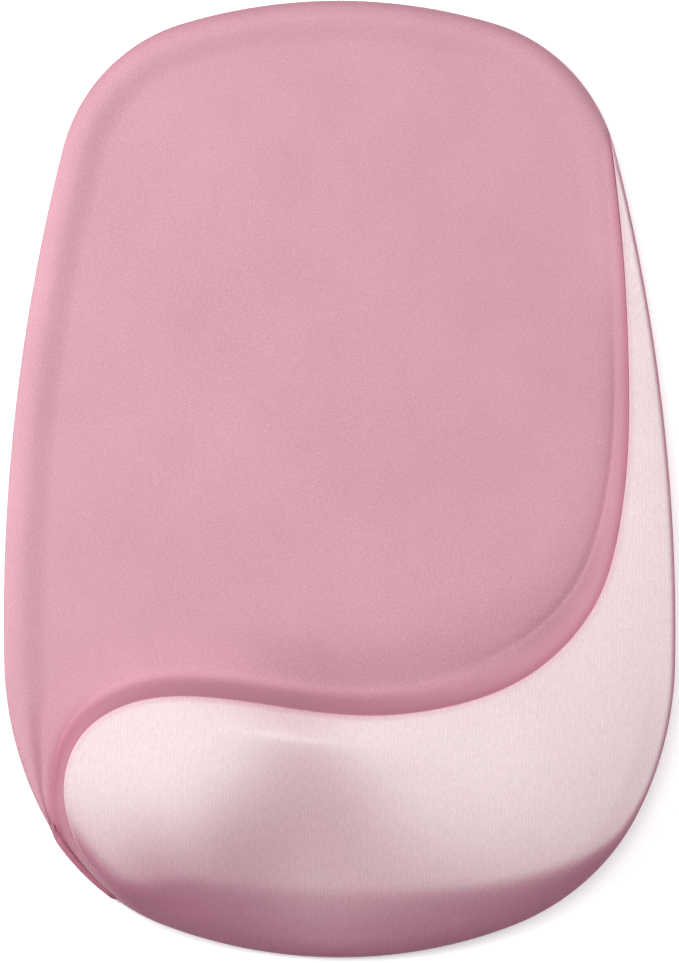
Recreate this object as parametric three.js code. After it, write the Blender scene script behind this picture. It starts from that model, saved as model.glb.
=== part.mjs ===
// Mouse pad with an integral wrist rest, in millimetres, +Z up, resting on the plane z = 0.
// +X is to the user's right and +Y points away from the user. The origin is under the middle of the pad.
//
// The pad is a lamination. From the bottom: a non-slip base sheet, a film of adhesive, a stiffener
// board with the turned-under hem of the covers around it, a second film, a foam tray beside a wrist
// cushion of slow foam, and two knit covers that meet edge to edge on a fusible tape.
import * as THREE from "three";
import { mergeVertices } from "three/addons/utils/BufferGeometryUtils.js";

// Overall size.
const padLength = 265;

// Half of the outline, clockwise from the middle of the far edge: radius and turn of each tangent arc.
// A last arc, centred on the pad's axis, closes the half at the near edge.
const outlineArcs = [
  { radius: 150, turn: 16.8 },
  { radius: 48.5, turn: 58.9 },
  { radius: 532, turn: 15.5 },
  { radius: 96, turn: 26.4 },
  { radius: 64.6, turn: 40.6 },
];

// The joint between the two covers runs from the horn's tip to the bulb's tip, both on the outline.
const hornTipY = 96;
const bulbTipY = -116.8;
const jointPoints = [
  [78.2, 66],
  [80, 28],
  [79.5, 5],
  [77.5, -11.5],
  [71.4, -32.6],
  [63, -44.6],
  [48.8, -55.6],
  [29.2, -62.4],
  [10, -64.6],
  [-15, -62.3],
  [-38, -59.4],
  [-57, -61.3],
  [-70.3, -70],
  [-75.3, -83.5],
  [-72, -100],
];

// Where a line across the cushion leaves the joint, and where it reaches the outline. Both are shares
// of the way from the horn's tip to the bulb's tip.
const crossLines = [
  [0, 0],
  [0.2, 0.2],
  [0.4, 0.42],
  [0.5, 0.62],
  [0.6, 0.77],
  [0.7, 0.86],
  [0.8, 0.925],
  [0.9, 0.97],
  [1, 1],
];

// Heights of the top surface.
const floorHeight = 5.6;
const rimRise = 1.2;
const rimCrestInset = 4.8;
const rimFootInset = 12.5;
// The rounded edge is a quarter of an ellipse. It is tighter on the right, beside the horn, and larger
// along the front.
const edgeReach = 5.5;
const edgeDepth = 4.3;
const crispReach = 1.3;
const crispDepth = 1.5;
const frontReach = 24;
const frontDepth = 6.2;
// Along the cushion: share of the joint, height at the joint, height at the outline, and the power of
// the curve that joins them.
const cushionHeights = [
  [0, 6.9, 6.9, 2.4],
  [0.13, 8.6, 8.3, 2.4],
  [0.25, 10.8, 10.2, 2.4],
  [0.33, 13.4, 12.6, 2.4],
  [0.4, 16.6, 14.8, 2.4],
  [0.48, 20.2, 15.6, 2.3],
  [0.54, 21.8, 13.2, 2],
  [0.6, 22.6, 10, 1.6],
  [0.66, 22.8, 8.6, 1.2],
  [0.73, 22.7, 9, 1.6],
  [0.8, 22, 10.6, 2.3],
  [0.88, 19.6, 11.8, 2.4],
  [0.94, 16.2, 11.6, 2.4],
  [1, 10, 10, 2.4],
];
const crestShare = 0.88; // the crest's place across the cushion, from the outline to the joint
// Lobes and the wrist dip: centre, reach and rise of a smooth swelling.
const swellings = [
  { x: -44, y: -92, reachX: 27, reachY: 24, rise: 1.6 },
  { x: 56, y: -78, reachX: 30, reachY: 24, rise: 1.2 },
  { x: 0, y: -100, reachX: 24, reachY: 30, rise: -1.2 },
];

const swellingFade = 8; // they die out this close to the outline

// The flank of the cushion that drops to the tray: share of the joint, width, and the power of its curve.
const flankForm = [
  [0, 3.2, 1.2],
  [0.25, 3.6, 1.1],
  [0.32, 4.6, 1.1],
  [0.385, 6.4, 1.1],
  [0.44, 7.8, 1.5],
  [0.52, 9, 2.6],
  [0.65, 8.8, 3.8],
  [0.78, 8, 3.6],
  [0.86, 4.5, 1.8],
  [0.9, 4.2, 1.3],
  [0.94, 6, 1.1],
  [1, 6, 1],
];
const creaseDepth = 0.7; // a soft groove along the flank's foot, on the right
const creaseWidth = 1.8;

// Thicknesses and levels of the lamination.
const baseThickness = 1.2;
const filmThickness = 0.15;
const boardThickness = 1;
const coverThickness = 0.8;
const tapeThickness = 0.25;
const hemWidth = 6;
const tapeReach = 5; // onto the cushion, from the joint
const tapeDrop = 2.4; // down the flank
const hemFilmThickness = 0.2;
const baseInset = 1;
const filmInset = 1.6;
const boardInset = 7;
const gap = 0.3; // left between soft pieces that touch
const jointGap = 0.15; // each cover stops this short of the joint line
const boardLevel = baseThickness + filmThickness;
const foamLevel = boardLevel + boardThickness + filmThickness;

// Sampling.
const rowCount = 46;
const plateSides = 64;
const trayCoverRows = [0.005, 0.985];
const wristCoverRows = [0.015, 0.985];
const trayFoamRows = [0.03, 0.87];
const wristFoamRows = [0.12, 0.955];
const tapeRows = [0.16, 0.925];

const { abs, sin, cos, atan2, hypot, sqrt, exp, PI, min, max } = Math;
const smooth = (t) => {
  const c = min(1, max(0, t));
  return c * c * (3 - 2 * c);
};

// ---- outline ----------------------------------------------------------------------------------

// The arcs of the right half, each with its centre and the headings where it starts and ends.
function halfOutline() {
  const arcs = [];
  const at = { x: 0, y: 0 };
  let heading = 0;
  const add = (radius, turn) => {
    const centre = { x: at.x - radius * sin(heading), y: at.y - radius * cos(heading) };
    arcs.push({ ...centre, radius, from: heading, to: heading + turn });
    heading += turn;
    at.x = centre.x + radius * sin(heading);
    at.y = centre.y + radius * cos(heading);
  };
  for (const arc of outlineArcs) add(arc.radius, (arc.turn * PI) / 180);
  add(at.x / sin(heading), PI - heading);
  const scale = padLength / -at.y;
  const lift = padLength / 2;
  return arcs.map((arc) => ({
    ...arc,
    x: arc.x * scale,
    y: arc.y * scale + lift,
    radius: arc.radius * scale,
  }));
}
const arcs = halfOutline();
const halfLength = arcs.reduce((sum, arc) => sum + arc.radius * (arc.to - arc.from), 0);

// The point a share s of the way round, clockwise from the far edge, moved inwards by inset.
function outlineAt(s, inset = 0) {
  const turned = ((s % 1) + 1) % 1;
  const side = turned > 0.5 ? -1 : 1;
  let left = (side > 0 ? turned : 1 - turned) * 2 * halfLength;
  let arc = arcs[0];
  for (arc of arcs) {
    const length = arc.radius * (arc.to - arc.from);
    if (left <= length) break;
    if (arc !== arcs.at(-1)) left -= length;
  }
  const heading = arc.from + left / arc.radius;
  const radius = arc.radius - inset;
  return new THREE.Vector2(side * (arc.x + radius * sin(heading)), arc.y + radius * cos(heading));
}

// How far a point lies inside the outline.
function insetOf(x, y) {
  let least = 60;
  for (const arc of arcs) {
    const dx = abs(x) - arc.x;
    const dy = y - arc.y;
    const heading = atan2(dx, dy);
    if (heading < arc.from - 1e-6 || heading > arc.to + 1e-6) continue;
    least = min(least, arc.radius - hypot(dx, dy));
  }
  return least;
}

// The share of the outline, on the right half, where it passes a height y.
function shareAtY(y) {
  let low = 0;
  let high = 0.5;
  for (let i = 0; i < 50; i++) {
    const middle = (low + high) / 2;
    if (outlineAt(middle).y > y) low = middle;
    else high = middle;
  }
  return low;
}
const hornTip = shareAtY(hornTipY);
const bulbTip = 1 - shareAtY(bulbTipY);

// ---- the joint and the lines across it ------------------------------------------------------------

const joint = new THREE.SplineCurve([
  outlineAt(hornTip),
  ...jointPoints.map(([x, y]) => new THREE.Vector2(x, y)),
  outlineAt(bulbTip),
]);

// A smooth value read from a short list of rows, by their first entry.
function between(rows, column, t) {
  const last = rows.length - 1;
  let i = 0;
  while (i < last - 1 && rows[i + 1][0] < t) i++;
  const [a, b] = [rows[i], rows[i + 1]];
  const before = rows[max(0, i - 1)];
  const after = rows[min(last, i + 2)];
  const span = b[0] - a[0];
  const local = min(1, max(0, (t - a[0]) / span));
  const slopeA = ((b[column] - before[column]) / (b[0] - before[0])) * span;
  const slopeB = ((after[column] - a[column]) / (after[0] - a[0])) * span;
  const l2 = local * local;
  const l3 = l2 * local;
  return (
    a[column] * (2 * l3 - 3 * l2 + 1) +
    slopeA * (l3 - 2 * l2 + local) +
    b[column] * (3 * l2 - 2 * l3) +
    slopeB * (l3 - l2)
  );
}

// One row of the layout: its point on the joint with the direction to the tray side, and the two
// places on the outline that it reaches, over the tray and over the cushion.
function rowAt(v) {
  const along = joint.getTangentAt(v);
  return {
    v,
    point: joint.getPointAt(v),
    toTray: new THREE.Vector2(along.y, -along.x),
    traySide: hornTip - v * (1 - (bulbTip - hornTip)),
    cushionSide: hornTip + between(crossLines, 1, v) * (bulbTip - hornTip),
  };
}

// ---- the top surface -----------------------------------------------------------------------------

// 1 on the right side, where the edge is tighter, and 0 elsewhere.
const crispEdge = (x, y) => smooth(x / 40) * smooth((108 - y) / 22) * smooth((y + 122) / 40);
// 1 along the front, and 0 at the bulb's tip and further up.
const frontEdge = (x, y) => smooth((x + 64) / 26) * smooth((-95 - y) / 25);
const mix = (a, b, share) => a + (b - a) * share;
const rollOff = (x, y, inset = insetOf(x, y)) => {
  const crisp = crispEdge(x, y);
  const front = frontEdge(x, y);
  const reach = mix(mix(edgeReach, frontReach, front), crispReach, crisp);
  const depth = mix(mix(edgeDepth, frontDepth, front), crispDepth, crisp);
  const left = min(1, max(0, 1 - inset / reach));
  return depth * (1 - sqrt(1 - left * left));
};
const trayHeight = (inset) => {
  const fall = smooth((inset - rimCrestInset) / (rimFootInset - rimCrestInset));
  return floorHeight + rimRise * (1 - fall);
};

// The cushion's top: u runs from 0 at the outline to 1 at the joint.
function cushionHeight(v, u, x, y) {
  const atJoint = between(cushionHeights, 1, v);
  const atEdge = between(cushionHeights, 2, v);
  const power = between(cushionHeights, 3, v);
  const rise = (1 - abs(1 - u / crestShare) ** power) / (1 - (1 / crestShare - 1) ** power);
  let height = atEdge + (atJoint - atEdge) * rise;
  const fade = smooth(insetOf(x, y) / swellingFade);
  for (const s of swellings) {
    height += s.rise * fade * exp(-(((x - s.x) / s.reachX) ** 2) - ((y - s.y) / s.reachY) ** 2);
  }
  return height;
}

// The columns of a row share the hem and the side: inset from the outline and level.
const hemLevel = boardLevel;
const hemColumns = [
  [hemWidth, hemLevel],
  [0.5, hemLevel],
  [0, hemLevel + 0.5],
];

function sideColumns(share, topAtEdge) {
  const points = hemColumns.map(([inset, z]) => {
    const p = outlineAt(share, inset);
    return new THREE.Vector3(p.x, p.y, z);
  });
  const edge = outlineAt(share);
  points.push(new THREE.Vector3(edge.x, edge.y, topAtEdge));
  return points;
}

// The tray side of a row, from the hem over the rim and the floor and up the flank to the joint. Past
// sliverFrom the tray narrows beside the bulb, and the rim and the floor are squeezed to fit in.
const sliverFrom = 0.6;
const rimInsets = [0.4, 1.6, 3.4, 5.5, 8.5, 12.5];
const floorShares = [0.25, 0.5, 0.75];
const beyondFoot = 1.35; // the column in front of the flank, as a share of its width
const flankShares = [0.75, 0.5, 0.3];
function trayRow(v) {
  const row = rowAt(v);
  const edge = outlineAt(row.traySide);
  const reach = edge.distanceTo(row.point);
  const sliver = smooth((v - 0.88) / 0.06); // beside the bulb's tip the flank takes most of the row
  const squeeze = min(1, ((0.5 - 0.38 * sliver) * reach) / rimInsets.at(-1));
  const rimPoint = (inset) => {
    const p = outlineAt(row.traySide, inset * squeeze);
    const profileInset = v < sliverFrom ? insetOf(p.x, p.y) : inset;
    return new THREE.Vector3(p.x, p.y, trayHeight(profileInset) - rollOff(p.x, p.y, inset * squeeze));
  };
  const points = sideColumns(row.traySide, rimPoint(0).z);
  points.push(...rimInsets.map(rimPoint));
  const atJoint = cushionHeight(v, 1, row.point.x, row.point.y);
  const width = min(between(flankForm, 1, v), (0.25 + 0.3 * sliver) * reach);
  const power = between(flankForm, 2, v);
  const onRight = 1 - smooth((v - 0.44) / 0.1) * smooth((0.9 - v) / 0.06);
  const crease = creaseDepth * onRight * smooth((atJoint - floorHeight) / 5) * smooth(reach / 40);
  const flankPoint = (away) => {
    const p = row.point.clone().addScaledVector(row.toTray, away);
    const inset = insetOf(p.x, p.y);
    const floor = trayHeight(v < sliverFrom ? inset : inset / squeeze);
    const rise = (atJoint - floor) * max(0, 1 - away / width) ** power;
    const groove = crease * exp(-(((away - width) / creaseWidth) ** 2));
    return new THREE.Vector3(p.x, p.y, floor + rise - groove - rollOff(p.x, p.y));
  };
  const start = points.at(-1);
  const end = flankPoint(width * beyondFoot);
  for (const share of floorShares) {
    const p = start.clone().lerp(end, share);
    if (v < sliverFrom) p.z = trayHeight(insetOf(p.x, p.y));
    points.push(p);
  }
  const height = atJoint - floorHeight;
  const tapeShare = 1 - (1 - min(tapeDrop / height, 0.25)) ** (1 / power);
  const shares = [...flankShares, (flankShares.at(-1) + tapeShare) / 2, tapeShare];
  points.push(end, flankPoint(width + gap), flankPoint(width));
  points.push(...shares.map((share) => flankPoint(width * share)), flankPoint(jointGap));
  return points;
}

// The cushion side of a row, from the hem over the edge and the crown to the joint.
const crownInsets = [0.4, 1.6, 3.4, 5.5];
const crownShares = [0.16, 0.33, 0.5, 0.67, 0.83];
function cushionRow(v) {
  const row = rowAt(v);
  const edge = outlineAt(row.cushionSide);
  const reach = edge.distanceTo(row.point);
  const squeeze = min(1, (0.5 * reach) / crownInsets.at(-1));
  const topAt = (p) => {
    const u = min(1, p.distanceTo(edge) / reach);
    const z = cushionHeight(v, u, p.x, p.y) - rollOff(p.x, p.y);
    return new THREE.Vector3(p.x, p.y, z);
  };
  // Beside the bulb's tip the rows run almost along the edge, so the first columns go along them too.
  const alongRow = smooth((v - 0.84) / 0.1);
  const rollPoint = (inset) =>
    outlineAt(row.cushionSide, inset * squeeze).lerp(
      edge.clone().lerp(row.point, (inset * squeeze) / reach),
      alongRow,
    );
  const points = sideColumns(row.cushionSide, topAt(edge).z);
  points.push(...crownInsets.map((inset) => topAt(rollPoint(inset))));
  const start = rollPoint(crownInsets.at(-1));
  const end = row.point.clone().lerp(edge, min(0.25, tapeReach / reach));
  for (const share of crownShares) points.push(topAt(start.clone().lerp(end, share)));
  points.push(topAt(end));
  points.push(topAt(row.point.clone().addScaledVector(row.toTray, -jointGap)));
  return points;
}

// ---- solids from grids of points --------------------------------------------------------------------

// Places along the joint, from one tip to the other, spread evenly over the joint and the outline
// together. Every piece uses the same ones, so that facing pieces have the same facets, and the covers
// have one more at each end.
const stops = Array.from({ length: rowCount + 1 }, (_, i) => {
  let low = 0;
  let high = 1;
  for (let k = 0; k < 40; k++) {
    const middle = (low + high) / 2;
    if (middle + between(crossLines, 1, middle) < (2 * i) / rowCount) low = middle;
    else high = middle;
  }
  return low;
});
function rowsBetween([first, last], build, ends = []) {
  const inner = stops.filter((v) => v > first && v < last);
  return (ends.length ? [first, ...inner, last] : inner).map((v) => build(v));
}

// The grid moved to its inner side by depth, or by less where a row is too short to hold it. depth may
// change from column to column.
const depthPerReach = 0.4;
function insideOf(grid, depth) {
  const depthAt = typeof depth === "function" ? depth : () => depth;
  const normalAt = (i, j) => {
    const row = grid[i];
    const alongRow = row[min(j + 1, row.length - 1)].clone().sub(row[max(j - 1, 0)]);
    const across = grid[min(i + 1, grid.length - 1)][j].clone().sub(grid[max(i - 1, 0)][j]);
    return across.cross(alongRow).normalize();
  };
  const outward = Math.sign(normalAt(grid.length >> 1, grid[0].length >> 1).z);
  return grid.map((row, i) =>
    row.map((point, j) => {
      const reach = row[hemColumns.length].distanceTo(row.at(-1));
      const d = min(depthAt(j, row.length), depthPerReach * reach);
      if (j === row.length - 1) return point.clone().add(new THREE.Vector3(0, 0, -d));
      return point.clone().addScaledVector(normalAt(i, j), -d * outward);
    }),
  );
}

function meshFrom(positions, index) {
  const geometry = new THREE.BufferGeometry();
  geometry.setAttribute("position", new THREE.Float32BufferAttribute(positions, 3));
  geometry.setIndex(index);
  return mergeVertices(geometry, 1e-4);
}

// Turns the faces outwards where the signed volume says that they point in.
function facingOut(geometry) {
  const p = geometry.attributes.position;
  const index = geometry.index.array;
  const [a, b, c] = [new THREE.Vector3(), new THREE.Vector3(), new THREE.Vector3()];
  let volume = 0;
  for (let i = 0; i < index.length; i += 3) {
    a.fromBufferAttribute(p, index[i]);
    b.fromBufferAttribute(p, index[i + 1]);
    c.fromBufferAttribute(p, index[i + 2]);
    volume += a.dot(b.cross(c));
  }
  if (volume < 0) {
    for (let i = 0; i < index.length; i += 3) [index[i], index[i + 1]] = [index[i + 1], index[i]];
  }
  geometry.computeVertexNormals();
  return geometry;
}

// The solid between two grids of the same size: both faces and the four edges.
function shellBetween(outer, inner) {
  const rows = outer.length;
  const columns = outer[0].length;
  const positions = [];
  const put = (grid) => {
    const base = positions.length / 3;
    for (const row of grid) for (const point of row) positions.push(point.x, point.y, point.z);
    return (i, j) => base + i * columns + j;
  };
  const o = put(outer);
  const n = put(inner);
  const index = [];
  const quad = (a, b, c, d) => index.push(a, b, c, a, c, d);
  for (let i = 0; i < rows - 1; i++) {
    for (let j = 0; j < columns - 1; j++) {
      quad(o(i, j), o(i + 1, j), o(i + 1, j + 1), o(i, j + 1));
      quad(n(i, j), n(i, j + 1), n(i + 1, j + 1), n(i + 1, j));
    }
    quad(o(i, 0), n(i, 0), n(i + 1, 0), o(i + 1, 0));
    const e = columns - 1;
    quad(o(i, e), o(i + 1, e), n(i + 1, e), n(i, e));
  }
  for (let j = 0; j < columns - 1; j++) {
    const e = rows - 1;
    quad(o(0, j), o(0, j + 1), n(0, j + 1), n(0, j));
    quad(o(e, j), n(e, j), n(e, j + 1), o(e, j + 1));
  }
  return facingOut(meshFrom(positions, index));
}

// The solid between a grid and a flat underside at level z.
function blockUnder(grid, z) {
  const rows = grid.length;
  const columns = grid[0].length;
  const positions = [];
  for (const row of grid) for (const point of row) positions.push(point.x, point.y, point.z);
  const index = [];
  const at = (i, j) => i * columns + j;
  for (let i = 0; i < rows - 1; i++) {
    for (let j = 0; j < columns - 1; j++) {
      index.push(at(i, j), at(i + 1, j), at(i + 1, j + 1), at(i, j), at(i + 1, j + 1), at(i, j + 1));
    }
  }
  const loop = [];
  for (let j = 0; j < columns; j++) loop.push(at(0, j));
  for (let i = 1; i < rows; i++) loop.push(at(i, columns - 1));
  for (let j = columns - 2; j >= 0; j--) loop.push(at(rows - 1, j));
  for (let i = rows - 2; i > 0; i--) loop.push(at(i, 0));
  const base = positions.length / 3;
  const flat = loop.map((k) => new THREE.Vector2(positions[3 * k], positions[3 * k + 1]));
  for (const p of flat) positions.push(p.x, p.y, z);
  loop.forEach((k, n) => {
    const m = (n + 1) % loop.length;
    index.push(k, loop[m], base + m, k, base + m, base + n);
  });
  const turned = THREE.ShapeUtils.area(flat) < 0;
  for (const [a, b, c] of THREE.ShapeUtils.triangulateShape(flat, [])) {
    index.push(base + a, base + (turned ? c : b), base + (turned ? b : c));
  }
  return facingOut(meshFrom(positions, index));
}

// A flat plate that follows the outline at an inset.
function plate(inset, thickness, level) {
  const ring = Array.from({ length: plateSides }, (_, i) => outlineAt(i / plateSides, inset));
  const shape = new THREE.Shape(ring);
  const geometry = new THREE.ExtrudeGeometry(shape, { depth: thickness, bevelEnabled: false });
  return geometry.translate(0, 0, level);
}

// A flat band that follows the outline between two insets: a rectangle carried round it.
function band(inset, innerInset, thickness, level) {
  const positions = [];
  const index = [];
  for (let i = 0; i < plateSides; i++) {
    const outer = outlineAt(i / plateSides, inset);
    const inner = outlineAt(i / plateSides, innerInset);
    positions.push(outer.x, outer.y, level, outer.x, outer.y, level + thickness);
    positions.push(inner.x, inner.y, level + thickness, inner.x, inner.y, level);
    const next = (i + 1) % plateSides;
    for (let k = 0; k < 4; k++) {
      const m = (k + 1) % 4;
      index.push(4 * i + k, 4 * next + k, 4 * next + m, 4 * i + k, 4 * next + m, 4 * i + m);
    }
  }
  return facingOut(meshFrom(positions, index));
}

// ---- the pieces -------------------------------------------------------------------------------------

const pad = new THREE.Group();
function piece(name, geometry, color, roughness) {
  const material = new THREE.MeshStandardMaterial({ color, roughness, metalness: 0 });
  const mesh = new THREE.Mesh(geometry, material);
  mesh.name = name;
  pad.add(mesh);
}

// The two knit covers. Each wraps the edge and turns under as a hem.
function cover(range, build) {
  const outer = rowsBetween(range, build, range);
  return shellBetween(outer, insideOf(outer, coverThickness));
}
piece("mouse_area_cover", cover(trayCoverRows, trayRow), 0xdba7b4, 0.85);
piece("wrist_rest_cover", cover(wristCoverRows, cushionRow), 0xf0d8dc, 0.85);

// The grid moved inwards by a depth for each column, at right angles to the strips between the columns,
// and mitred where two strips meet at a corner.
function mitredInside(grid, depths) {
  const last = grid.length - 1;
  const moved = (sign) =>
    grid.map((row, i) => {
      const stripNormal = (j) => {
        const [before, after] = [grid[max(i - 1, 0)], grid[min(i + 1, last)]];
        const across = after[j].clone().sub(before[j]).add(after[j + 1]).sub(before[j + 1]);
        return across.cross(row[j + 1].clone().sub(row[j])).normalize();
      };
      return row.map((point, j) => {
        const before = stripNormal(max(j - 1, 0));
        const after = stripNormal(min(j, row.length - 2));
        const depth = depths[min(j, depths.length - 1)];
        const step = (sign * depth) / (1 + before.dot(after));
        return point.clone().addScaledVector(before.add(after), step);
      });
    });
  const up = moved(1);
  const middle = grid.length >> 1;
  return up[middle][0].z < grid[middle][0].z ? up : moved(-1);
}

// Below the covers, the same rows moved inwards. The cushion goes on over the corner at the joint and
// down its flank to the flank's foot, and lies lower beside the joint, where the tape runs.
const foamDepth = coverThickness + gap;
const tapeDepth = coverThickness + gap / 2;
const foamUnderTape = tapeDepth + tapeThickness + 1.3 * gap;
const sideColumn = hemColumns.length;
const footColumn = sideColumn + rimInsets.length + floorShares.length + 2;
const flankColumns = 2 + flankShares.length; // from the foot to the one above the tape's lower edge

const trayFoam = insideOf(rowsBetween(trayFoamRows, trayRow), foamDepth).map((row) =>
  row.slice(sideColumn, footColumn + 1),
);
piece("tray_foam", blockUnder(trayFoam, foamLevel), 0xe9e2d0, 0.95);

// The point of the top surface on the joint itself.
function jointPoint(v) {
  const { point } = rowAt(v);
  return new THREE.Vector3(point.x, point.y, cushionHeight(v, 1, point.x, point.y));
}
const foamRows = rowsBetween(wristFoamRows, (v) => [
  ...cushionRow(v).slice(sideColumn + 1, -1),
  jointPoint(v),
  ...trayRow(v).slice(footColumn + 1, footColumn + 1 + flankColumns).reverse(),
]);
const crownColumns = crownInsets.length + crownShares.length;
const foamDepths = [
  ...Array(crownColumns).fill(foamDepth),
  foamUnderTape,
  foamUnderTape,
  foamUnderTape,
  foamDepth,
];
const wristFoam = mitredInside(foamRows, foamDepths);
piece("wrist_foam_core", blockUnder(wristFoam, foamLevel), 0xf3ecd9, 0.95);

// The fusible tape under the joint, which holds the two cut edges together.
const tapeLine = rowsBetween(tapeRows, (v) => [cushionRow(v).at(-2), jointPoint(v), trayRow(v).at(-2)]);
const tape = shellBetween(
  mitredInside(tapeLine, [tapeDepth]),
  mitredInside(tapeLine, [tapeDepth + tapeThickness]),
);
piece("cover_joint_tape", tape, 0xf7f3ee, 0.6);

// The flat layers under the foam.
const hemTop = boardLevel + coverThickness;
const hemFilm = band(filmInset, hemWidth - 0.4, hemFilmThickness, hemTop);
piece("hem_adhesive_ring", hemFilm, 0xf5efdc, 0.4);
piece("board_adhesive_film", plate(boardInset, filmThickness, boardLevel + boardThickness), 0xf5efdc, 0.4);
piece("stiffener_board", plate(boardInset, boardThickness, boardLevel), 0xe4e4e2, 0.5);
piece("base_adhesive_film", plate(filmInset, filmThickness, baseThickness), 0xf5efdc, 0.4);
piece("base_sheet", plate(baseInset, baseThickness, 0), 0xd9a9b6, 0.9);

export default pad;
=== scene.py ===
# Mouse pad with an integral wrist rest: two knit covers over foam, on a board and a non-slip base.
import bpy
import numpy as np
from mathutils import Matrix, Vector


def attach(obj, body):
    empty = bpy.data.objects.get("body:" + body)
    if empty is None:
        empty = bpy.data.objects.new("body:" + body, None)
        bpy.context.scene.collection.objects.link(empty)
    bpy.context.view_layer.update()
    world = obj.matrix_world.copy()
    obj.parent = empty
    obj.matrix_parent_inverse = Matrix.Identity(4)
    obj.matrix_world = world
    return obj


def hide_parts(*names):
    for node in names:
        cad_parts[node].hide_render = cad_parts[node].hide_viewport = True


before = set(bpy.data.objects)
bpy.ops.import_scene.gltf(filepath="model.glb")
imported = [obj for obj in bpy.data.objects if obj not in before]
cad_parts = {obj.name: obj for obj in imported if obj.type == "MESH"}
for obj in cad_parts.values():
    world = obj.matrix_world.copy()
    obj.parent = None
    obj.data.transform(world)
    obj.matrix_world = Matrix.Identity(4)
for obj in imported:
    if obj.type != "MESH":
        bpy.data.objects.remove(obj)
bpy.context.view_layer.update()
mm = 0.001  # shapes are worked out in millimetres and go into the meshes in metres


# what the whole pad shares: the outline, the joint between the two cloths, and the heights
padForm = {
    "length": 265.0,
    # radius, degrees turned
    "arcs": [(150.0, 16.8), (48.5, 58.9), (532.0, 15.5), (96.0, 26.4), (64.6, 40.6)],
    "hornTipY": 96.0,
    "bulbTipY": -116.8,
    "joint": [
        (78.2, 66), (80, 28), (79.5, 5), (77.5, -11.5), (71.4, -32.6), (63, -44.6), (48.8, -55.6),
        (29.2, -62.4), (10, -64.6), (-15, -62.3), (-38, -59.4), (-57, -61.3), (-70.3, -70),
        (-75.3, -83.5), (-72, -100),
    ],
    # share of the joint, share of the outline on the cushion's side that faces it
    "crossLines": [
        (0, 0), (0.2, 0.2), (0.4, 0.42), (0.5, 0.62), (0.6, 0.77), (0.7, 0.86), (0.8, 0.925), (0.9, 0.97),
        (1, 1),
    ],
    "floor": 5.6,
    "rimRise": 1.2,
    "rimCrest": 4.8,  # distance of the rim's crest from the edge
    "rimFoot": 12.5,  # distance from the edge where the rim has sunk to the floor
    "edgeReach": 5.5,  # the rounded edge is a quarter of an ellipse: its width and its depth
    "edgeDepth": 4.3,
    "crispReach": 1.3,  # the same along the right side, beside the horn
    "crispDepth": 1.5,
    "frontReach": 24.0,  # and along the front, where the cushion rolls down further
    "frontDepth": 6.2,
    "hemWidth": 6.0,
    "hemLevel": 1.35,
    "hemCorner": 0.5,
    # ramps, each where it starts or ends and its width: the tighter right side in x and at both ends
    # in y, then the front in x and in y
    "crispAcross": (0, 40),
    "crispFar": (108, 22),
    "crispNear": (-122, 40),
    "frontAcross": (-64, 26),
    "frontAlong": (-95, 25),
}

# the cushion: heights along the joint and along the edge, and the soft lobes on top
cushionForm = {
    # share of the joint, height at the joint, height at the edge, power of the crown's curve
    "heights": [
        (0, 6.9, 6.9, 2.4), (0.13, 8.6, 8.3, 2.4), (0.25, 10.8, 10.2, 2.4), (0.33, 13.4, 12.6, 2.4),
        (0.4, 16.6, 14.8, 2.4), (0.48, 20.2, 15.6, 2.3), (0.54, 21.8, 13.2, 2), (0.6, 22.6, 10, 1.6),
        (0.66, 22.8, 8.6, 1.2), (0.73, 22.7, 9, 1.6), (0.8, 22, 10.6, 2.3), (0.88, 19.6, 11.8, 2.4),
        (0.94, 16.2, 11.6, 2.4), (1, 10, 10, 2.4),
    ],
    "crestShare": 0.88,
    # centre x and y, reach x and y, rise
    "lobes": [(-44, -92, 27, 24, 1.6), (56, -78, 30, 24, 1.2), (0, -100, 24, 30, -1.2)],
    "lobeFade": 8.0,
    # share of the joint, width of the flank that drops to the tray, and how much it steepens towards the top
    "flank": [
        (0, 3.2, 1.2), (0.25, 3.6, 1.1), (0.32, 4.6, 1.1), (0.385, 6.4, 1.1), (0.44, 7.8, 1.5),
        (0.52, 9, 2.6), (0.65, 8.8, 3.8), (0.78, 8, 3.6), (0.86, 4.5, 1.8), (0.9, 4.2, 1.3),
        (0.94, 6, 1.1), (1, 6, 1),
    ],
    "rollShare": 0.5,  # the edge's roll takes at most this share of a row
    "straightRoll": (0.84, 0.1),  # ramp along the joint, to rolls that follow the rows
}

# the tray: how its rows are shared out, and the crease at the flank's foot; ramps are along the joint
trayForm = {
    "narrowsFrom": 0.6,  # past this share of the joint the tray narrows beside the bulb
    "sliver": (0.88, 0.06),  # and over this ramp the flank comes to take most of the row
    "rimShare": 0.5,
    "rimShareLost": 0.38,
    "flankShare": 0.25,
    "flankShareGained": 0.3,
    "creaseEnds": (0.44, 0.1),  # along the wrist there is no crease between these two ramps
    "creaseReturns": (0.9, 0.06),
    "creaseDepth": 0.7,
    "creaseWidth": 1.8,
    "creaseRise": 5,  # the rise above the floor, and the row's length, that give the full depth
    "creaseReach": 40,
}
finely = {"outline": 20001, "spline": 8001, "joint": 4001}  # steps in the tables that are looked up
wellInside = 60.0  # further inside the outline than any height depends on
arcSlack = 1e-6  # radians


def smoothStep(t):
    c = np.clip(t, 0, 1)
    return c * c * (3 - 2 * c)


def rising(value, start, width):
    # 0 up to the start, then a smooth step to 1 over the width
    return smoothStep((value - start) / width)


def falling(value, end, width):
    # a smooth step from 1 down to 0 over the width before the end
    return smoothStep((end - value) / width)


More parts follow.
